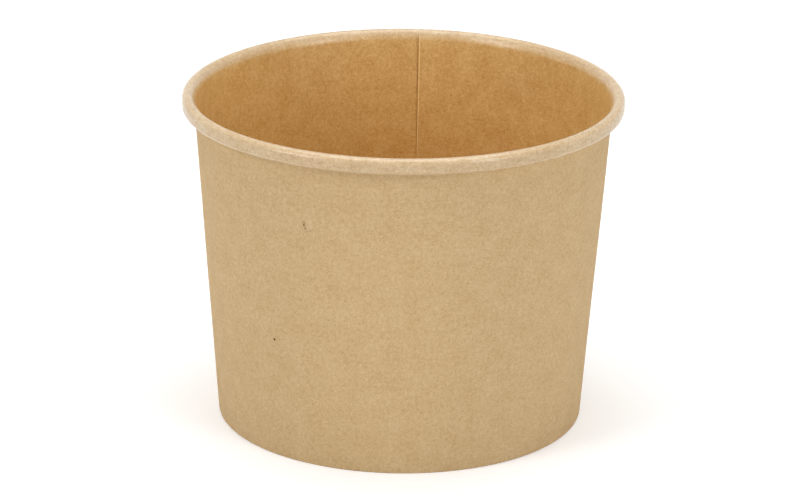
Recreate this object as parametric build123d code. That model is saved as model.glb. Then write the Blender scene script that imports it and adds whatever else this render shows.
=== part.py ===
from build123d import *
from math import acos, atan2, copysign, cos, degrees, hypot, sin
import os

# Soup cup of kraft board: a tapered side wall with a rolled rim, and a base disc held in its folded foot.
# Lengths are in millimetres. The cup stands on the XY plane, its axis is Z, and its lap seam faces +Y.

# overall size
rim_diameter = 98.0  # over the rolled rim
foot_diameter = 81.6  # over the outer face of the wall, where it would meet the table
cup_height = 74.5  # table to the top of the rim

# board
wall_board = 0.40
base_board = 0.35

# rolled rim: a top bend, a drop down the outside, a bend under, and a tail rolled up inside
curl_core_radius = 0.15  # hollow left in the middle where two layers are rolled together
curl_pitch = 0.10  # the tail's bend is this much tighter than the bend under the rim
curl_clearance = 0.13  # between the doubled wall and the tail that rises beside it
curl_drop = 0.95  # straight stretch down the outside
curl_tail_turn = 100.0  # degrees

# lap seam, measured round the outside of the wall just under the rim
lap_width = 7.0  # where one edge of the blank lies over the other
lap_ramp_width = 4.6  # where the upper layer climbs on to the lower one

# foot
floor_height = 7.2  # table to the drink side of the base disc
hem_gap = 1.3  # underside of the disc to the cut edge of the hem
fold_radius = 0.05  # inside of the two creases at the foot
skirt_clearance = 0.05  # on each side of the skirt, for its film of sealant
skirt_end_clearance = 0.40  # cut edge of the skirt to the fold
base_corner_radius = 0.80  # outside of the bend between disc and skirt

# the ramp is straight from section to section
ramp_sections = 4

rim_radius = rim_diameter / 2
foot_radius = foot_diameter / 2

# bends of the rolled rim, on the drink side of the board, which is the outside of the roll
tail_radius = 2 * wall_board + curl_core_radius
under_radius = tail_radius + curl_pitch
top_radius = wall_board + under_radius + curl_clearance / 2

# The outer face of the wall passes through the foot corner and clears the top bend's centre by the
# radius that is left outside the board.
top_centre = Vector(rim_radius - top_radius, cup_height - top_radius)
foot_corner = Vector(foot_radius, 0)
to_centre = top_centre - foot_corner
taper = acos((top_radius - wall_board) / hypot(to_centre.X, to_centre.Y)) - atan2(to_centre.Y, to_centre.X)
taper_degrees = degrees(taper)
up_wall = Vector(sin(taper), cos(taper))
out_of_wall = Vector(cos(taper), -sin(taper))

# space between wall and hem, which the skirt fills but for its clearances
skirt_space = base_board + 2 * skirt_clearance

# lap angles
wall_top_radius = top_centre.X - (top_radius - wall_board)
lap_angle = degrees(lap_width / wall_top_radius)
ramp_angle = degrees(lap_ramp_width / wall_top_radius)
seam_angle = 90.0  # the blank's inner edge, seen inside the cup, lies on +Y


def point_inside_wall(depth, height):
    """Point at a height above the table and at a depth under the outer face of the wall, square to it."""
    return Vector(foot_radius + (height * sin(taper) - depth) / cos(taper), height)


def sheet_side(start, heading, moves, offset):
    """One face of a bent sheet, at an offset to the right of its path.

    A move is (length, 0) for a straight run, or (radius, turn) for a bend, where the turn is in degrees
    and positive to the left.
    """
    edges = []
    point = start + heading.rotate(Axis.Z, -90) * offset
    for size, turn in moves:
        if turn == 0:
            edges.append(Line(point, point + heading * size))
        else:
            edges.append(JernArc(point, heading, size + offset * copysign(1, turn), turn))
            heading = heading.rotate(Axis.Z, turn)
        point = edges[-1] @ 1
    return edges


def sheet_section(start, heading, moves, near, far):
    """Section of a bent sheet between two offsets from its path, drawn upright in the XZ plane."""
    near_side = sheet_side(start, heading, moves, near)
    far_side = sheet_side(start, heading, moves, far)
    cut_edges = [Line(near_side[0] @ 0, far_side[0] @ 0), Line(near_side[-1] @ 1, far_side[-1] @ 1)]
    return Plane.XZ * make_face(near_side + far_side + cut_edges)


def top_bend_radius(depth):
    """Radius of the top bend for a face of the wall at a depth under its outer face.

    The bend runs from that face to the top of the rim and on to the outside of the rim.
    """
    reach = (rim_radius - foot_radius) * cos(taper) - cup_height * sin(taper) + depth
    return reach / (1 + cos(taper) - sin(taper))


def wall_section(lift, layers, angle):
    """Section of the side wall at an angle round the cup, one or two layers of board thick.

    Lift is how far the blank has climbed on to its own first edge, from 0 to 1. It climbs in the wall and
    the hem. The outside of the rolled rim and the underside of the fold stay flush, as both are pressed.
    """
    wall_depth = wall_board - lift * wall_board
    hem_depth = wall_board + skirt_space + lift * wall_board
    crease_height = wall_board + fold_radius
    outer_crease = point_inside_wall(wall_depth + fold_radius, crease_height)
    inner_crease = point_inside_wall(hem_depth - fold_radius, crease_height)
    hem_top = point_inside_wall(hem_depth, floor_height - base_board - hem_gap)
    hem_foot = inner_crease - out_of_wall * fold_radius
    wall_foot = outer_crease + out_of_wall * fold_radius
    bend_radius = top_bend_radius(wall_depth)
    bend_centre = Vector(rim_radius - bend_radius, cup_height - bend_radius)
    wall_top = bend_centre - out_of_wall * bend_radius
    moves = [
        ((hem_top - hem_foot).length, 0),
        (fold_radius, 90 + taper_degrees),
        (outer_crease.X - inner_crease.X, 0),
        (fold_radius, 90 - taper_degrees),
        ((wall_top - wall_foot).length, 0),
        (bend_radius, taper_degrees - 180),
        (bend_centre.Y - top_centre.Y + curl_drop, 0),
        (under_radius, -180),
        (tail_radius, -curl_tail_turn),
    ]
    section = sheet_section(hem_top, -up_wall, moves, 0, layers * wall_board)
    return Rot(0, 0, angle) * section


def make_side_wall():
    """One blank of board: once round the cup, up a ramp and over its own first edge."""
    doubled = revolve(wall_section(0, 2, seam_angle), Axis.Z, -lap_angle)
    single = revolve(wall_section(0, 1, seam_angle - lap_angle), Axis.Z, lap_angle + ramp_angle - 360)
    lifts = [step / (ramp_sections - 1) for step in range(ramp_sections)]
    ramp = loft([wall_section(lift, 1, seam_angle + ramp_angle * (1 - lift)) for lift in lifts], ruled=True)
    wall = doubled + single + ramp
    # the doubled fold is pressed flat, so that the cup stands level
    table = Box(rim_diameter, rim_diameter, 4 * wall_board, align=(Align.CENTER, Align.CENTER, Align.MAX))
    return wall - table


def make_base_disc():
    """One blank of board: a flat floor with a skirt that points down between wall and hem."""
    skirt_depth = wall_board + skirt_clearance
    skirt_foot = point_inside_wall(skirt_depth, wall_board + skirt_end_clearance)
    corner = point_inside_wall(skirt_depth + base_corner_radius, floor_height - base_corner_radius)
    skirt_top = corner + out_of_wall * base_corner_radius
    moves = [
        ((skirt_top - skirt_foot).length, 0),
        (base_corner_radius, 90 + taper_degrees),
        (corner.X + base_board, 0),
    ]
    section = sheet_section(skirt_foot, up_wall, moves, 0, -base_board)
    # the floor is drawn a little past the axis and cut there
    return revolve(split(section, Plane.YZ, keep=Keep.TOP), Axis.Z, 360)


parts = {
    "side_wall": make_side_wall(),
    "base_disc": make_base_disc(),
}

os.makedirs("parts", exist_ok=True)
for name, solid in parts.items():
    solid.label = name
    export_step(solid, f"parts/{name}.step")
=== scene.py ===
import math

import bpy
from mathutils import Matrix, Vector, noise


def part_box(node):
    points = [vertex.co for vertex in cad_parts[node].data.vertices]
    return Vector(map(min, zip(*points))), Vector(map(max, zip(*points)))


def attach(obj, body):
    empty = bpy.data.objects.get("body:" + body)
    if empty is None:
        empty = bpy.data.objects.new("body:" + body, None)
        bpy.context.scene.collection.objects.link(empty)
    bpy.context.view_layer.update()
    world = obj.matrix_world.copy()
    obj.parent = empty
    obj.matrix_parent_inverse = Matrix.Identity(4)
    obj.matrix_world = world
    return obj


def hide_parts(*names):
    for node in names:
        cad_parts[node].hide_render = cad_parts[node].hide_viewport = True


# Kraft board soup cup. The cup stands on z = 0, its axis is z and its lap seam faces +y. Metres.
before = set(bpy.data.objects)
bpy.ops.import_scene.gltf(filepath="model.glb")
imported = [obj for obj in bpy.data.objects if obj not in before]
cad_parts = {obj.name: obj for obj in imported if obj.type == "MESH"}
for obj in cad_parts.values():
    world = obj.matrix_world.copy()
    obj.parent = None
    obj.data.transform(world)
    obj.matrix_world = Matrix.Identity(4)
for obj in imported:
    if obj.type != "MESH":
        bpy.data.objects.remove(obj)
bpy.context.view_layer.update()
mm = 0.001
print("frame loaded:", sorted(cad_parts))


# small helpers

def smoothStep(low, high, value):
    share = min(max((value - low) / (high - low), 0.0), 1.0)
    return share * share * (3 - 2 * share)


def linearColour(hexText):
    # sRGB hex to the linear colour that the shaders take
    channels = [int(hexText[i:i + 2], 16) / 255 for i in (1, 3, 5)]
    return [c / 12.92 if c <= 0.04045 else ((c + 0.055) / 1.055) ** 2.4 for c in channels] + [1.0]


def deselectAll():
    if bpy.context.mode != "OBJECT":
        bpy.ops.object.mode_set(mode="OBJECT")
    bpy.ops.object.select_all(action="DESELECT")


def applyModifier(piece, kind, **options):
    modifier = piece.modifiers.new(kind.title(), kind)
    for option, choice in options.items():
        setattr(modifier, option, choice)
    bpy.context.view_layer.objects.active = piece
    bpy.ops.object.modifier_apply(modifier=modifier.name)


# the section of a bent sheet is drawn as by hand: one point, pulled along runs and spun round bends

def startSection(name, y, z):
    deselectAll()
    bpy.ops.mesh.primitive_plane_add(size=mm, location=(0, y, z))
    piece = bpy.context.object
    piece.name = name
    bpy.ops.object.transform_apply(location=True, rotation=True, scale=True)
    bpy.ops.object.mode_set(mode="EDIT")
    bpy.ops.mesh.select_all(action="SELECT")
    bpy.ops.mesh.merge(type="CENTER")
    return piece


def turnedBy(vector, angle):
    return Vector((vector.x * math.cos(angle) - vector.y * math.sin(angle),
                   vector.x * math.sin(angle) + vector.y * math.cos(angle)))


def drawSection(start, heading, moves):
    # a move is (length, 0, cuts) for a straight run, or (radius, turn, cuts) for a bend
    # turns are in degrees, left is +
    place, direction = Vector(start), Vector(heading).normalized()
    for size, turn, cuts in moves:
        if turn == 0:
            step = direction * size / cuts
            for cut in range(cuts):
                bpy.ops.mesh.extrude_region_move(TRANSFORM_OT_translate={"value": (0, step.x, step.y)})
            place = place + direction * size
            continue
        side = math.copysign(1, turn)
        toCentre = Vector((-direction.y, direction.x)) * side * size
        centre = place + toCentre
        angle = math.radians(turn)
        # spin turns the other way round from its axis, so the angle's sign is changed
        bpy.ops.mesh.spin(steps=cuts, angle=-angle, center=(0, centre.x, centre.y), axis=(1, 0, 0))
        place = centre + turnedBy(place - centre, angle)
        direction = turnedBy(direction, angle)
    bpy.ops.object.mode_set(mode="OBJECT")


def sectionOrder(piece, start):
    # vertex numbers along the drawn line, from its start
    neighbours = {v.index: [] for v in piece.data.vertices}
    for edge in piece.data.edges:
        neighbours[edge.vertices[0]].append(edge.vertices[1])
        neighbours[edge.vertices[1]].append(edge.vertices[0])
    ends = [i for i, near in neighbours.items() if len(near) == 1]
    first = min(ends, key=lambda i: (piece.data.vertices[i].co - Vector((0, *start))).length)
    order = [first]
    while len(order) < len(neighbours):
        order.append(next(i for i in neighbours[order[-1]] if i not in order[-2:]))
    return order


def sectionLengths(points, order):
    # how far along the drawn line each vertex lies
    along = [0.0] * len(order)
    for before, after in zip(order, order[1:]):
        along[after] = along[before] + (points[after] - points[before]).length
    return along


def writeBlankMap(piece, columns, along, turnLength):
    # UV map in millimetres of the flat blank: round the cup, and along the section from its first edge
    layer = piece.data.uv_layers.new(name="blank")
    rows = len(along)
    for loop in piece.data.loops:
        column, row = divmod(loop.vertex_index, rows)
        layer.data[loop.index].uv = (column / columns * turnLength / mm, along[row] / mm)


def writeDiscMap(piece, columns, along):
    # the same for a disc, whose blank is laid out round its middle
    layer = piece.data.uv_layers.new(name="blank")
    rows = len(along)
    for loop in piece.data.loops:
        column, row = divmod(loop.vertex_index, rows)
        around = math.radians(90 - column * 360 / columns)
        reach = (along[-1] - along[row]) / mm
        layer.data[loop.index].uv = (reach * math.cos(around), reach * math.sin(around))


def thicken(piece, board):
    # material slots: drink side, outside, cut edges
    for slotNumber in range(3):
        piece.data.materials.append(None)
    applyModifier(piece, "SOLIDIFY", thickness=board, offset=-1, use_even_offset=True,
                  material_offset=1, material_offset_rim=2)


# side wall: one blank, once round the cup and up on to its own first edge
# it is rolled at the rim and folded at the foot

wallBlank = {
    "board": 0.40 * mm,
    "footRadius": 40.8 * mm,
    "rollCore": 0.15 * mm,        # hollow in the middle of the roll
    "rollPitch": 0.10 * mm,
    "rollClearance": 0.13 * mm,
    "rollFoot": 3.515 * mm,       # rim top to the underside of the roll
    "tailTurn": 100,              # degrees
    "entryRadius": 3.2 * mm,      # the wall leans out slowly before the roll proper
    "entryTurn": 40,              # degrees
    "lapWidth": 7.0 * mm,
    "rampWidth": 4.6 * mm,
    "hemTop": 5.55 * mm,
    "foldRadius": 0.05 * mm,
    "skirtSpace": 0.45 * mm,
    "columns": 480,               # round one full turn
    "hemRibs": 120,               # knurled by the closing wheel
    "ribDepth": 0.10 * mm,
    "ribFade": 0.80 * mm,         # the ribs end over this length, below the fold
    "layerGap": 0.01 * mm,        # between the two layers of the lap
    # under the lap the fold is raised in full below the first height, and not at all above the second
    "coverFade": (0.5 * mm, 3 * mm),
    "seamPress": 0.22,            # how far the roll is pressed down at the seam, as a share of the board
    "pressRun": 0.35,             # last share of the ramp over which it is pressed
    "seamTurn": 1.2,              # degrees in which the roll then climbs the rest of the board
    "bow": 0.07 * mm,             # slow unevenness of the wall
    "bowPitch": (1.6, 28 * mm),   # its waves to the radius, and the height of one
    "bowFade": (14 * mm, 16 * mm),  # none at the foot and the rim, growing over these lengths
    "rollRipple": 0.045 * mm,     # compression waves on the roll
    "ripplePitch": (26, 1.2 * mm),  # their number to the radius, and the height of one
    "rippleFade": 1.5 * mm,       # they start this far below the roll
    "sagAngle": 158,              # where the rim stands a little lower and further in, degrees from +x
    "sagDrop": 0.34 * mm,
    "sagIn": 0.20 * mm,
    "sagStart": 0.35,             # share of the height above which the wall gives
    "seed": 7.0,
}


def cupShape(s):
    # the few places that both pieces and the specks are measured from
    low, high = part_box("side_wall")
    rimRadius, height = (high.x - low.x) / 2, high.z
    board, foot = s["board"], s["footRadius"]
    underRadius = 2 * board + s["rollCore"] + s["rollPitch"]
    roundRadius = board + underRadius + s["rollClearance"] / 2
    reach = Vector((rimRadius - roundRadius - foot, height - roundRadius))
    taper = math.acos((roundRadius - board) / reach.length) - math.atan2(reach.y, reach.x)
    sine, cosine = math.sin(taper), math.cos(taper)
    # roll: a slow bend, then a tighter one that just reaches the rim's outside and top
    slow, bent = s["entryRadius"], taper + math.radians(s["entryTurn"])
    freeHeight = (height + (slow - board) * sine - slow * math.sin(bent)) / cosine
    perRadius = (math.sin(bent) - 1) / cosine
    width = rimRadius - foot + board * cosine - slow * (cosine - math.cos(bent))
    topRadius = (width - freeHeight * sine) / (1 + math.cos(bent) + perRadius * sine)
    return {
        "rimRadius": rimRadius, "height": height, "taper": taper,
        "upWall": Vector((sine, cosine)), "outOfWall": Vector((cosine, -sine)),
        "topRadius": topRadius, "underRadius": underRadius,
        "wallTop": freeHeight + perRadius * topRadius,  # along the wall from the table
    }


def underFace(shape, s, depth, z):
    # point at a depth under the wall's outer face, square to it
    sine, cosine = math.sin(shape["taper"]), math.cos(shape["taper"])
    return Vector((s["footRadius"] + (z * sine - depth) / cosine, z))


def drawWallSection(s, shape):
    # from the cut edge of the hem, round the fold, up the wall and into the roll
    board, fold = s["board"], s["foldRadius"]
    outOfWall, upWall = shape["outOfWall"], shape["upWall"]
    outerCrease = underFace(shape, s, board + fold, board + fold)
    innerCrease = underFace(shape, s, board + s["skirtSpace"] - fold, board + fold)
    hemStart = underFace(shape, s, board + s["skirtSpace"], s["hemTop"])
    wallFoot = outerCrease + outOfWall * fold
    wallHead = Vector((s["footRadius"], 0)) + upWall * shape["wallTop"] - outOfWall * board
    taperDegrees = math.degrees(shape["taper"])
    topTurn = 180 - taperDegrees - s["entryTurn"]
    drop = s["rollFoot"] - shape["topRadius"] - shape["underRadius"]
    moves = [
        ((hemStart - (innerCrease - outOfWall * fold)).length, 0, 5),
        (fold, 90 + taperDegrees, 4),
        (outerCrease.x - innerCrease.x, 0, 2),
        (fold, 90 - taperDegrees, 4),
        ((wallHead - wallFoot).length, 0, 30),
        (s["entryRadius"], -s["entryTurn"], 7),
        (shape["topRadius"], -topTurn, 12),
        (drop, 0, 2),
        (shape["underRadius"], -180, 11),
        (2 * board + s["rollCore"], -s["tailTurn"], 5),
    ]
    piece = startSection("sideWall", hemStart.x, hemStart.y)
    drawSection(hemStart, -upWall, moves)
    order = sectionOrder(piece, hemStart)
    points = [Vector(piece.data.vertices[i].co.yz) for i in range(len(order))]
    along = sectionLengths(points, order)
    ends = [along[order[sum(cuts for size, turn, cuts in moves[:n])]] for n in range(len(moves) + 1)]
    return piece, {
        "order": order, "points": points, "along": along,
        "hemEnd": ends[1], "wallStart": ends[4], "wallEnd": ends[5], "topStart": ends[6],
        "crest": ends[6] + (ends[7] - ends[6]) * (topTurn - 90) / topTurn,
        "foldMiddle": (innerCrease.x + outerCrease.x) / 2,
        "headRadius": wallHead.x + board,
    }


def awayFromFirst(section):
    # which way the second layer of the lap lies off the first, at each vertex of the section
    order, points = section["order"], section["points"]
    away = [Vector((0, 0))] * len(order)
    for place, i in enumerate(order):
        before = points[order[max(place - 1, 0)]]
        after = points[order[min(place + 1, len(order) - 1)]]
        tangent = (after - before).normalized()
        away[i] = Vector((tangent.y, -tangent.x))
        if section["hemEnd"] < section["along"][i] <= section["wallStart"]:
            # the fold keeps its height and only spreads
            away[i] = Vector((-1 if points[i].x < section["foldMiddle"] else 1, 0))
    return away


def lapClimb(s, rampAngle, turned, rollShare):
    # how far on to the first edge, from 0 to 1
    # slowly in the wall and hem, late and shallow in the pressed roll
    ramp = smoothStep(360 - rampAngle, 360, turned)
    press = s["seamPress"] * smoothStep(360 - s["pressRun"] * rampAngle, 360, turned)
    dive = press + (1 - s["seamPress"]) * smoothStep(360, 360 + s["seamTurn"], turned)
    return ramp * (1 - rollShare) + dive * rollShare


def wallWaves(s, section, ring, z, place):
    # slow unevenness of the wall, none at the foot and rim, and short waves on the roll
    wallStart, wallEnd = section["wallStart"], section["wallEnd"]
    wallShare = smoothStep(wallStart, wallStart + s["bowFade"][0], place)
    wallShare *= smoothStep(wallEnd, wallEnd - s["bowFade"][1], place)
    slow, short = [noise.noise(ring * waves + Vector((0, 0, z / waveHeight + s["seed"])))
                   for waves, waveHeight in (s["bowPitch"], s["ripplePitch"])]
    rollShare = smoothStep(wallEnd - s["rippleFade"], wallEnd, place)
    return s["bow"] * slow * wallShare - s["rollRipple"] * (0.5 + short) * rollShare


def makeSideWall(s, shape):
    piece, section = drawWallSection(s, shape)
    away = awayFromFirst(section)
    layer = s["board"] + s["layerGap"]
    rampAngle = math.degrees(s["rampWidth"] / section["headRadius"])
    lapAngle = math.degrees(s["lapWidth"] / section["headRadius"])
    columnAngle = 360 / s["columns"]
    columns = round((360 + lapAngle) / columnAngle)
    wholeTurn = math.radians(columns * columnAngle)

    bpy.ops.object.mode_set(mode="EDIT")
    bpy.ops.mesh.select_all(action="SELECT")
    bpy.ops.mesh.spin(steps=columns, angle=wholeTurn, center=(0, 0, 0), axis=(0, 0, 1))
    bpy.ops.mesh.select_all(action="SELECT")
    # the drink side is outermost at the roll, so it becomes the front
    bpy.ops.mesh.normals_make_consistent(inside=False)
    bpy.ops.object.mode_set(mode="OBJECT")

    for vertex in piece.data.vertices:
        column, row = divmod(vertex.index, len(section["order"]))
        turned = column * columnAngle
        around = math.radians(90 - turned)
        ring = Vector((math.cos(around), math.sin(around), 0))
        radius, z = section["points"][row]
        place = section["along"][row]
        rollShare = smoothStep(section["wallEnd"], section["crest"], place)
        lift = lapClimb(s, rampAngle, turned, rollShare) * layer
        rib = (1 + math.cos(math.radians(turned) * s["hemRibs"])) * s["ribDepth"] / 2
        rib *= smoothStep(section["hemEnd"], section["hemEnd"] - s["ribFade"], place)
        step = away[row] * (lift + rib)
        sag = max(math.cos(around - math.radians(s["sagAngle"])), 0) ** 2
        sag *= smoothStep(s["sagStart"], 1, z / shape["height"])
        # under the lap the first layer's fold stands on the second's
        covered = smoothStep(lapAngle + rampAngle / 2, lapAngle, turned)
        covered *= smoothStep(s["coverFade"][1], s["coverFade"][0], z)
        reach = radius + step.x + wallWaves(s, section, ring, z, place) - s["sagIn"] * sag
        height = z + step.y + covered * layer - s["sagDrop"] * sag
        vertex.co = ring * reach + Vector((0, 0, max(height, 0.0)))
    writeBlankMap(piece, columns, section["along"], wholeTurn * shape["rimRadius"])
    thicken(piece, s["board"])
    print("side wall:", len(piece.data.polygons), "faces")
    return piece, section


# base disc: a flat floor drawn into a short skirt that points down between wall and hem

baseBlank = {
    "board": 0.35 * mm,
    "floorHeight": 7.2 * mm,
    "skirtClearance": 0.05 * mm,
    "skirtFoot": 0.80 * mm,
    "cornerRadius": 0.80 * mm,
    "columns": 360,
    "pleats": 72,                 # small waves where the disc is drawn into its skirt
    "pleatDepth": 0.035 * mm,
    # where the pleats start, are full, are still full and have gone, from the skirt's end
    "pleatRun": (-2 * mm, 0.5 * mm, 1.2 * mm, 4 * mm),
    "pleatStray": (0.8, 9),       # how uneven they are, and the uneven stretches to the radius
    "crown": 0.25 * mm,           # the floor rises a little towards its middle
    "dent": 0.04 * mm,            # slow unevenness of the floor
    "dentPitch": 70,              # its waves to the metre
    "dentEdge": 0.8,              # share of the floor's radius where it is full
    "seed": 3.0,
}


def makeBaseDisc(s, wall, shape):
    skirtDepth = wall["board"] + s["skirtClearance"]
    corner = underFace(shape, wall, skirtDepth + s["cornerRadius"], s["floorHeight"] - s["cornerRadius"])
    skirtStart = underFace(shape, wall, skirtDepth, s["skirtFoot"])
    skirtRun = (corner + shape["outOfWall"] * s["cornerRadius"] - skirtStart).length
    moves = [
        (skirtRun, 0, 5),
        (s["cornerRadius"], 90 + math.degrees(shape["taper"]), 8),
        (corner.x, 0, 22),
    ]
    piece = startSection("baseDisc", skirtStart.x, skirtStart.y)
    drawSection(skirtStart, shape["upWall"], moves)
    order = sectionOrder(piece, skirtStart)
    points = [Vector(piece.data.vertices[i].co.yz) for i in range(len(order))]
    along = sectionLengths(points, order)
    bpy.ops.object.mode_set(mode="EDIT")
    bpy.ops.mesh.select_all(action="SELECT")
    bpy.ops.mesh.spin(steps=s["columns"], angle=math.tau, center=(0, 0, 0), axis=(0, 0, 1),
                      use_auto_merge=False)
    bpy.ops.object.mode_set(mode="OBJECT")
    for vertex in piece.data.vertices:
        column, row = divmod(vertex.index, len(order))
        around = math.radians(90 - column * 360 / s["columns"])
        ring = Vector((math.cos(around), math.sin(around), 0))
        radius, z, place = points[row].x, points[row].y, along[row]
        start, full, still, gone = [skirtRun + run for run in s["pleatRun"]]
        bendShare = smoothStep(start, full, place) * smoothStep(gone, still, place)
        stray, stretches = s["pleatStray"]
        offset = Vector((0, 0, s["seed"]))
        wave = math.cos(around * s["pleats"]) + stray * noise.noise(ring * stretches + offset)
        z -= s["pleatDepth"] * (1 + wave) / 2 * bendShare
        uneven = noise.noise(ring * radius * s["dentPitch"] + offset)
        z += s["crown"] * smoothStep(corner.x, 0, radius)
        z += s["dent"] * uneven * smoothStep(corner.x, s["dentEdge"] * corner.x, radius)
        vertex.co = ring * radius + Vector((0, 0, z))
    writeDiscMap(piece, s["columns"], along)
    bpy.ops.object.mode_set(mode="EDIT")
    bpy.ops.mesh.select_all(action="SELECT")
    bpy.ops.mesh.remove_doubles(threshold=0.001 * mm)
    bpy.ops.mesh.normals_make_consistent(inside=False)  # the drink side is outermost at the skirt
    bpy.ops.object.mode_set(mode="OBJECT")
    thicken(piece, s["board"])
    print("base disc:", len(piece.data.polygons), "faces")
    return piece


# materials: patterns are laid out on the flat blank, in millimetres

def addNode(tree, kind, inputs=None, **options):
    # an input is a plain value, a hex colour, another node's output, or a node for its first output
    # a Mix node takes its colours in sockets 6 and 7 and gives the mixed one from output 2
    node = tree.nodes.new("ShaderNode" + kind)
    for option, choice in options.items():
        setattr(node, option, choice)
    for socket, value in (inputs or {}).items():
        if isinstance(value, bpy.types.Node):
            value = value.outputs[0]
        if isinstance(value, bpy.types.NodeSocket):
            tree.links.new(value, node.inputs[socket])
        elif isinstance(value, str):
            node.inputs[socket].default_value = linearColour(value)
        else:
            node.inputs[socket].default_value = value
    return node


def emptyTree(owner):
    # of a material or the world
    owner.use_nodes = True
    owner.node_tree.nodes.clear()
    return owner.node_tree


boardSheet = {
    "cloud": 5.0,                 # mm, slow change of shade in the sheet
    "floc": 1.1,                  # mm, clumps of fibre
    "grain": 0.46,                # mm, real grain is finer, drawn this coarse to show at all
    "bundleLength": 1.5,          # mm
    "bundleWidth": 0.30,          # mm, real fibres are 0.03 wide, drawn as bundles
    "bundleAngles": (18, 79, 137),
    "stray": 0.9,                 # mm, how far clumps push the bundles aside
    "fleckCell": 1.9,             # mm from one fleck to the next
    "fleckSize": 0.30,            # mm
    "fleckCore": 0.4,             # share of a fleck at full strength
    "speckFade": (1.25, 0.6),     # a speck fades in between these distances, in half sizes
}


def addSheetShade(tree, place, s, gains):
    # one shade around 0.5 from clouds, flocs, grain, fibre bundles and flecks
    # and the bundles' relief, from 0 to 1
    cloud = addNode(tree, "TexNoise", {"Vector": place, "Scale": 1 / s["cloud"], "Detail": 2.0})
    floc = addNode(tree, "TexNoise", {
        "Vector": place, "Scale": 1 / s["floc"], "Detail": 3.0, "Roughness": 0.7,
    })
    grain = addNode(tree, "TexNoise", {"Vector": place, "Scale": 1 / s["grain"], "Detail": 1.0})
    strayed = addNode(tree, "VectorMath", {
        0: floc.outputs["Color"], 1: (s["stray"], s["stray"], 0), 2: place,
    }, operation="MULTIPLY_ADD")
    relief = 0.0
    for angle in s["bundleAngles"]:
        turned = addNode(tree, "Mapping", {
            "Vector": strayed, "Rotation": (0, 0, math.radians(angle)),
            "Scale": (s["bundleLength"], s["bundleWidth"], 1),
        }, vector_type="TEXTURE")
        bundle = addNode(tree, "TexNoise", {"Vector": turned, "Scale": 1.0, "Detail": 1.0})
        relief = addNode(tree, "Math", {
            0: bundle, 1: 1 / len(s["bundleAngles"]), 2: relief,
        }, operation="MULTIPLY_ADD")
    cell = addNode(tree, "TexVoronoi", {"Vector": strayed, "Scale": 1 / s["fleckCell"]})
    size = s["fleckSize"] / 2 / s["fleckCell"]
    spot = addNode(tree, "MapRange", {
        "Value": cell.outputs["Distance"], "From Min": size, "From Max": s["fleckCore"] * size,
    })
    tone = addNode(tree, "SeparateXYZ", {0: cell.outputs["Color"]})
    tone = addNode(tree, "Math", {0: tone, 1: 0.5}, operation="SUBTRACT")
    fleck = addNode(tree, "Math", {0: tone, 1: spot, 2: 0.5}, operation="MULTIPLY_ADD")
    shade = 0.5 - sum(gains) / 2
    for pattern, gain in zip((cloud, floc, grain, relief, fleck), gains):
        shade = addNode(tree, "Math", {0: pattern, 1: gain, 2: shade}, operation="MULTIPLY_ADD")
    return shade, relief


def addMarks(tree, place, s, marks):
    # where small ellipses darken the sheet
    # a mark is (width, height, tilt in degrees, strength) and its centre
    stain = 0.0
    for (width, height, tilt, strength), centre in marks:
        turned = addNode(tree, "Mapping", {
            "Vector": place, "Location": (*centre, 0), "Rotation": (0, 0, math.radians(tilt)),
            "Scale": (width / 2, height / 2, 1),
        }, vector_type="TEXTURE")
        reach = addNode(tree, "VectorMath", {0: turned}, operation="LENGTH").outputs["Value"]
        inside = addNode(tree, "MapRange", {
            "Value": reach, "From Min": s["speckFade"][0], "From Max": s["speckFade"][1],
            "To Max": strength,
        }, interpolation_type="SMOOTHSTEP")
        stain = addNode(tree, "Math", {0: stain, 1: inside}, operation="MAXIMUM")
    return stain


kraftFace = {
    "dark": "#A37B42",
    "light": "#E6CDA2",
    "mark": "#5C3E04",
    "gains": (0.24, 0.42, 0.36, 0.75, 0.40),  # clouds, flocs, grain, bundles, flecks
    "roughness": 0.88,
    "sheen": 0.35,                # Specular IOR Level, half the usual is matt paper
    "relief": 0.024 * mm,
}


def makeKraft(name, s, marks):
    # uncoated brown kraft: matt, with flecks and fibre bundles
    material = bpy.data.materials.new(name)
    tree = emptyTree(material)
    place = addNode(tree, "UVMap", uv_map="blank")
    shade, relief = addSheetShade(tree, place, boardSheet, s["gains"])
    colour = addNode(tree, "Mix", {0: shade, 6: s["dark"], 7: s["light"]}, data_type="RGBA").outputs[2]
    if marks:
        stain = addMarks(tree, place, boardSheet, marks)
        colour = addNode(tree, "Mix", {0: stain, 6: colour, 7: s["mark"]}, data_type="RGBA").outputs[2]
    bump = addNode(tree, "Bump", {"Height": relief, "Distance": s["relief"]})
    shader = addNode(tree, "BsdfPrincipled", {
        "Base Color": colour, "Roughness": s["roughness"], "IOR": 1.5, "Specular IOR Level": s["sheen"],
        "Normal": bump,
    })
    addNode(tree, "OutputMaterial", {"Surface": shader})
    return material


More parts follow.
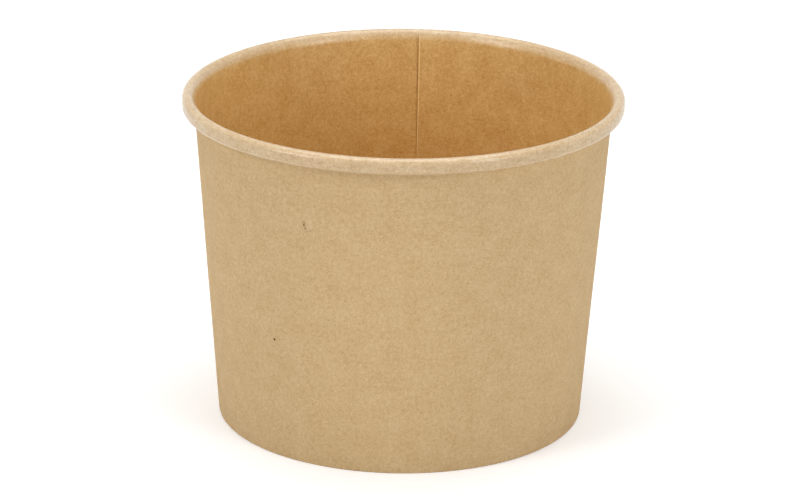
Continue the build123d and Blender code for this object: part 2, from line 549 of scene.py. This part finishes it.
liningFace = {
    "dark": "#BB812D",
    "light": "#EED091",
    "mark": "#5E3A14",
    "gains": (0.50, 0.66, 0.58, 1.14, 0.50),
    "boardRoughness": 0.8,
    "filmRoughness": 0.34,
    "relief": 0.012 * mm,
    "rollLead": (0.1, 0.2),       # mm, the roll's finish starts and is full this far before its two bends
    "rollDark": "#B38F5F",        # where the film is stretched pale over the roll
    "rollLight": "#DDC7A3",
    "rollGloss": 0.22,            # roughness there
    "creaseLength": 1.8,          # mm, small wrinkles along the roll
    "creaseWidth": 0.60,          # mm
    "creaseGain": 0.5,            # their share of the shade
    "creaseRelief": 4.0,          # their height, in reliefs
    "lip": "#FAD89B",             # pale line along the inner cut edge, partly bared fibre and partly a painted highlight where the edge catches the light
    "lipWidth": 0.19,             # mm
    "lipFade": (0.6, 0.3),        # it fades in between these distances from its middle, in widths
    "lipStray": (40, 62, 0.20),   # between these heights the lip moves this far off the cut edge, in mm
    "corner": "#85592C",          # painted shadow: a dark line in the corner of the lap, beside the cut edge
    "shadowLineWidth": 0.17,          # mm
    "shadowLineCore": 0.6,            # share of the width at full strength
    "shadowLineSlack": 0.01,          # mm, it may reach this far past the cut edge
    # the seam lines weaken to the last share from the second height down to the first, in mm
    "depthFade": (16, 62, 0.36),
    "rollFade": 0.10,             # their share on the roll
}


def addRoll(tree, place, along, s, wall, colour, shade, relief):
    # on the roll the film is stretched pale, with small wrinkles
    roll = addNode(tree, "MapRange", {
        "Value": along, "From Min": wall["rollStart"] - s["rollLead"][0],
        "From Max": wall["rollTop"] - s["rollLead"][1],
    }, interpolation_type="SMOOTHSTEP")
    drawn = addNode(tree, "Mapping", {
        "Vector": place, "Scale": (s["creaseLength"], s["creaseWidth"], 1),
    }, vector_type="TEXTURE")
    crease = addNode(tree, "TexNoise", {"Vector": drawn, "Scale": 1.0, "Detail": 2.0})
    streaked = addNode(tree, "Math", {0: crease, 1: s["creaseGain"], 2: shade}, operation="MULTIPLY_ADD")
    streaked = addNode(tree, "Math", {0: streaked, 1: s["creaseGain"] / 2}, operation="SUBTRACT")
    pale = addNode(tree, "Mix", {0: streaked, 6: s["rollDark"], 7: s["rollLight"]}, data_type="RGBA")
    colour = addNode(tree, "Mix", {0: roll, 6: colour, 7: pale.outputs[2]}, data_type="RGBA").outputs[2]
    raised = addNode(tree, "Math", {0: crease, 1: roll}, operation="MULTIPLY")
    relief = addNode(tree, "Math", {0: raised, 1: s["creaseRelief"], 2: relief}, operation="MULTIPLY_ADD")
    return roll, colour, relief


def addSeamLines(tree, across, along, s, wall, roll, colour):
    # the two lines of the lap: a pale line where the blank ends, partly bared fibre and partly a painted
    # highlight, and a painted shadow in the corner beside it
    low, high, weakest = s["depthFade"]
    depth = addNode(tree, "MapRange", {
        "Value": along, "From Min": wall["foot"] + low, "From Max": wall["foot"] + high,
        "To Min": weakest,
    })
    strength = addNode(tree, "Mix", {0: roll, 2: depth, 3: s["rollFade"]})
    # pale line on the cut edge, partly bared fibre and partly a painted highlight; higher up it moves off
    # the edge
    low, high, stray = s["lipStray"]
    middle = addNode(tree, "MapRange", {
        "Value": along, "From Min": wall["foot"] + low, "From Max": wall["foot"] + high,
        "To Min": s["lipWidth"] / 2, "To Max": s["lipWidth"] / 2 + stray,
    })
    reach = addNode(tree, "Math", {0: across, 1: middle}, operation="SUBTRACT")
    reach = addNode(tree, "Math", {0: reach}, operation="ABSOLUTE")
    edge = addNode(tree, "MapRange", {
        "Value": reach, "From Min": s["lipFade"][0] * s["lipWidth"],
        "From Max": s["lipFade"][1] * s["lipWidth"],
    })
    edge = addNode(tree, "Math", {0: edge, 1: strength}, operation="MULTIPLY")
    colour = addNode(tree, "Mix", {0: edge, 6: colour, 7: s["lip"]}, data_type="RGBA").outputs[2]
    # painted shadow in the corner of the lap: a thin dark line that ends at the cut edge
    corner = addNode(tree, "MapRange", {
        "Value": across, "From Min": wall["round"] - s["shadowLineWidth"],
        "From Max": wall["round"] - s["shadowLineCore"] * s["shadowLineWidth"],
    })
    end = wall["round"] + s["shadowLineSlack"]
    before = addNode(tree, "Math", {0: across, 1: end}, operation="LESS_THAN")
    corner = addNode(tree, "Math", {0: corner, 1: before}, operation="MULTIPLY")
    corner = addNode(tree, "Math", {0: corner, 1: strength}, operation="MULTIPLY")
    return addNode(tree, "Mix", {0: corner, 6: colour, 7: s["corner"]}, data_type="RGBA").outputs[2]


def makeLining(name, s, wall=None, marks=()):
    # kraft under a thin extruded film: deeper in colour than bare kraft, with a soft gloss
    material = bpy.data.materials.new(name)
    tree = emptyTree(material)
    place = addNode(tree, "UVMap", uv_map="blank")
    shade, relief = addSheetShade(tree, place, boardSheet, s["gains"])
    colour = addNode(tree, "Mix", {0: shade, 6: s["dark"], 7: s["light"]}, data_type="RGBA").outputs[2]
    roughness = s["filmRoughness"]
    if wall:
        stain = addMarks(tree, place, boardSheet, marks)
        colour = addNode(tree, "Mix", {0: stain, 6: colour, 7: s["mark"]}, data_type="RGBA").outputs[2]
        axes = addNode(tree, "SeparateXYZ", {0: place})
        across, along = axes.outputs["X"], axes.outputs["Y"]
        roll, colour, relief = addRoll(tree, place, along, s, wall, colour, shade, relief)
        roughness = addNode(tree, "Mix", {0: roll, 2: s["filmRoughness"], 3: s["rollGloss"]})
        colour = addSeamLines(tree, across, along, s, wall, roll, colour)
    bump = addNode(tree, "Bump", {"Height": relief, "Distance": s["relief"]})
    shader = addNode(tree, "BsdfPrincipled", {
        "Base Color": colour, "Roughness": s["boardRoughness"], "IOR": 1.5, "Specular IOR Level": 0.0,
        "Normal": bump, "Coat Weight": 1.0, "Coat Roughness": roughness, "Coat IOR": 1.5,
        "Coat Normal": bump,
    })
    addNode(tree, "OutputMaterial", {"Surface": shader})
    return material


cutEdge = {
    "dark": "#C9A878",
    "light": "#EBD3AC",
    "fibre": 0.25 * mm,
    "roughness": 0.95,
    "sheen": 0.2,
}


def makeCutEdge(name, s):
    # sheared fibres of a cut edge: paler than the faces, no gloss
    material = bpy.data.materials.new(name)
    tree = emptyTree(material)
    place = addNode(tree, "TexCoord").outputs["Object"]
    plies = addNode(tree, "TexNoise", {"Vector": place, "Scale": 1 / s["fibre"], "Detail": 3.0})
    colour = addNode(tree, "Mix", {0: plies, 6: s["dark"], 7: s["light"]}, data_type="RGBA").outputs[2]
    shader = addNode(tree, "BsdfPrincipled", {
        "Base Color": colour, "Roughness": s["roughness"], "IOR": 1.5, "Specular IOR Level": s["sheen"],
    })
    addNode(tree, "OutputMaterial", {"Surface": shader})
    return material


shape = cupShape(wallBlank)
sideWall, wallSection = makeSideWall(wallBlank, shape)
baseDisc = makeBaseDisc(baseBlank, wallBlank, shape)


def blankPlace(angle, height):
    # millimetres on the wall's blank for an angle from +x in degrees and a height in millimetres
    turned = (90 - angle) % 360
    start = (wallSection["wallStart"] - wallBlank["board"] - wallBlank["foldRadius"]) / mm
    return math.radians(turned) * shape["rimRadius"] / mm, start + height / math.cos(shape["taper"])


# specks seen on the real cup: (width, height, tilt, strength), angle, height
outsideMarks = [
    ((0.78, 0.60, 0, 1.00), -125.2, 28.06),
    ((0.28, 0.84, 6, 1.00), -113.28, 56.85),
    ((0.24, 0.70, 0, 0.30), -113.4, 57.55),
    ((0.32, 2.20, 0, 0.46), -113.0, 56.8),
    ((0.34, 0.80, -24, 0.62), -112.86, 56.15),
    ((0.46, 0.26, 0, 0.46), -112.2, 55.45),
    ((0.46, 0.36, 0, 0.42), -111.35, 55.8),
    ((0.40, 0.30, 0, 0.40), -153.67, 31.85),
    ((0.40, 0.30, 0, 0.40), -125.76, 46.35),
    ((0.45, 0.30, 0, 0.45), -102.45, 1.94),
    ((0.40, 0.35, 0, 0.45), -45.82, 14.56),
]
insideMarks = [
    ((0.50, 0.45, 0, 0.42), 79.9, 59.78),
    ((0.45, 0.35, 0, 0.42), 32.55, 69.04),
    ((0.40, 0.35, 0, 0.36), 79.39, 70.75),
]
outsideMarks, insideMarks = [[(mark, blankPlace(angle, height)) for mark, angle, height in marks]
                             for marks in (outsideMarks, insideMarks)]
wallPlaces = {
    "foot": wallSection["wallStart"] / mm,
    "rollStart": wallSection["wallEnd"] / mm,
    "rollTop": wallSection["topStart"] / mm,
    "round": math.tau * shape["rimRadius"] / mm,
}
wallFaces = (makeLining("filmOverKraftWall", liningFace, wallPlaces, insideMarks),
             makeKraft("uncoatedKraftWall", kraftFace, outsideMarks),
             makeCutEdge("cutKraftEdgeWall", cutEdge))
baseFaces = (makeLining("filmOverKraftBase", liningFace), makeKraft("uncoatedKraftBase", kraftFace, []),
             makeCutEdge("cutKraftEdgeBase", cutEdge))
for piece, faces in ((sideWall, wallFaces), (baseDisc, baseFaces)):
    for slotNumber, face in enumerate(faces):
        piece.data.materials[slotNumber] = face
print("boards coloured")

smoothAngle = 40  # degrees, sharper edges than this stay sharp
for piece, node, slot in ((sideWall, "side_wall", "kraft_wall"), (baseDisc, "base_disc", "kraft_base")):
    deselectAll()
    piece.select_set(True)
    bpy.context.view_layer.objects.active = piece
    bpy.ops.object.shade_smooth_by_angle(angle=math.radians(smoothAngle))
    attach(piece, "root")
    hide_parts(node)


# studio: a white floor that keeps the shadow, a pale sky and soft lamps

studio = {
    "floorSize": 6.0,
    "floorTone": "#EEEEEE",
    "floorGlow": (0.3, 1.0),      # near the cup and far from it, only seen, lights nothing
    "glowReach": (0.35, 1.2),     # between these distances
    "skyHorizon": 1.45,
    "skyTop": 0.35,               # share of the way up at which the sky has faded to nothing
    "lampAim": 0.04,              # height that the lamps point at
    # lamp: degrees from +x and above the table, distance, width, height, brightness of its face
    "lamps": {
        "overheadSoftbox": (90, 86, 1.3, 1.30, 1.30, 3.5),
        "leftSoftbox": (-143, 30, 1.4, 0.50, 0.80, 5.2),
        "rightSoftbox": (-39, 23, 1.4, 0.46, 0.80, 5.0),
    },
}


def addSeen(tree):
    # 1 for what the camera sees straight, in gloss or through something clear, 0 for what lights the cup
    path = addNode(tree, "LightPath")
    seen = path.outputs["Is Camera Ray"]
    for ray in ("Is Glossy Ray", "Is Transmission Ray"):
        seen = addNode(tree, "Math", {0: seen, 1: path.outputs[ray]}, operation="MAXIMUM")
    return seen


def directionAt(around, above):
    # round the cup from +x and up from the table, in degrees
    around, above = math.radians(around), math.radians(above)
    flat = math.cos(above)
    return Vector((flat * math.cos(around), flat * math.sin(around), math.sin(above)))


def makeFloor(s):
    deselectAll()
    bpy.ops.mesh.primitive_plane_add(size=s["floorSize"], location=(0, 0, 0))
    floor = bpy.context.object
    floor.name = "studioFloor"
    material = bpy.data.materials.new("whitePaperFloor")
    tree = emptyTree(material)
    diffuse = addNode(tree, "BsdfDiffuse", {"Color": s["floorTone"]})
    place = addNode(tree, "TexCoord").outputs["Object"]
    reach = addNode(tree, "VectorMath", {0: place}, operation="LENGTH").outputs["Value"]
    strength = addNode(tree, "MapRange", {
        "Value": reach, "From Min": s["glowReach"][0], "From Max": s["glowReach"][1],
        "To Min": s["floorGlow"][0], "To Max": s["floorGlow"][1],
    })
    glow = addNode(tree, "Emission", {"Color": "#FFFFFF", "Strength": strength})
    both = addNode(tree, "AddShader", {0: diffuse, 1: glow})
    pick = addNode(tree, "MixShader", {0: addSeen(tree), 1: diffuse, 2: both})
    addNode(tree, "OutputMaterial", {"Surface": pick})
    floor.data.materials.append(material)


def makeSky(s):
    world = bpy.data.worlds.new("paleSky")
    bpy.context.scene.world = world
    tree = emptyTree(world)
    direction = addNode(tree, "SeparateXYZ", {0: addNode(tree, "TexCoord").outputs["Generated"]})
    strength = addNode(tree, "MapRange", {
        "Value": direction.outputs["Z"], "From Max": s["skyTop"],
        "To Min": s["skyHorizon"], "To Max": 0.0,
    })
    sky = addNode(tree, "Background", {"Color": "#FFFFFF", "Strength": strength})
    white = addNode(tree, "Background", {"Color": "#FFFFFF", "Strength": 1.0})
    pick = addNode(tree, "MixShader", {0: addSeen(tree), 1: sky, 2: white})
    addNode(tree, "OutputWorld", {"Surface": pick})


def placeLamps(s):
    aim = Vector((0, 0, s["lampAim"]))
    for name, (around, above, distance, width, height, brightness) in s["lamps"].items():
        lamp = bpy.data.lights.new(name, "AREA")
        lamp.shape = "RECTANGLE"
        lamp.size, lamp.size_y = width, height
        lamp.energy = brightness * math.pi * width * height  # watts for that brightness of a flat face
        lampObject = bpy.data.objects.new(name, lamp)
        away = directionAt(around, above)
        lampObject.location = aim + away * distance
        lampObject.rotation_euler = away.to_track_quat("Z", "Y").to_euler()
        bpy.context.scene.collection.objects.link(lampObject)


makeFloor(studio)
makeSky(studio)
placeLamps(studio)
print("studio ready")


# camera at the photograph's angle

view = {
    "azimuth": 4.25,              # degrees towards +x from the front
    "elevation": 19.705,
    "roll": 0.703,
    "distance": 0.9306,
    "lens": 187.2,                # mm
    "sensor": 36,                 # mm
    "nearest": 0.01,              # nothing nearer than this is drawn
    "aimLeft": 0.28 * mm,
    "aimDown": 0.47 * mm,
}


def placeCamera(s):
    camera = bpy.data.cameras.new("camera")
    camera.lens = s["lens"]
    camera.sensor_width = s["sensor"]
    camera.clip_start = s["nearest"]
    cameraObject = bpy.data.objects.new("camera", camera)
    bpy.context.scene.collection.objects.link(cameraObject)
    back = directionAt(s["azimuth"] - 90, s["elevation"])
    right = directionAt(s["azimuth"], 0)
    up = back.cross(right)
    low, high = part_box("side_wall")
    aim = Vector((0, 0, high.z / 2)) - right * s["aimLeft"] - up * s["aimDown"]
    cameraObject.rotation_euler = back.to_track_quat("Z", "Y").to_euler()
    cameraObject.location = aim + back * s["distance"]
    cameraObject.rotation_euler.rotate_axis("Z", math.radians(s["roll"]))
    bpy.context.scene.camera = cameraObject
    print("camera placed")


placeCamera(view)
bpy.context.scene.view_settings.view_transform = "Standard"
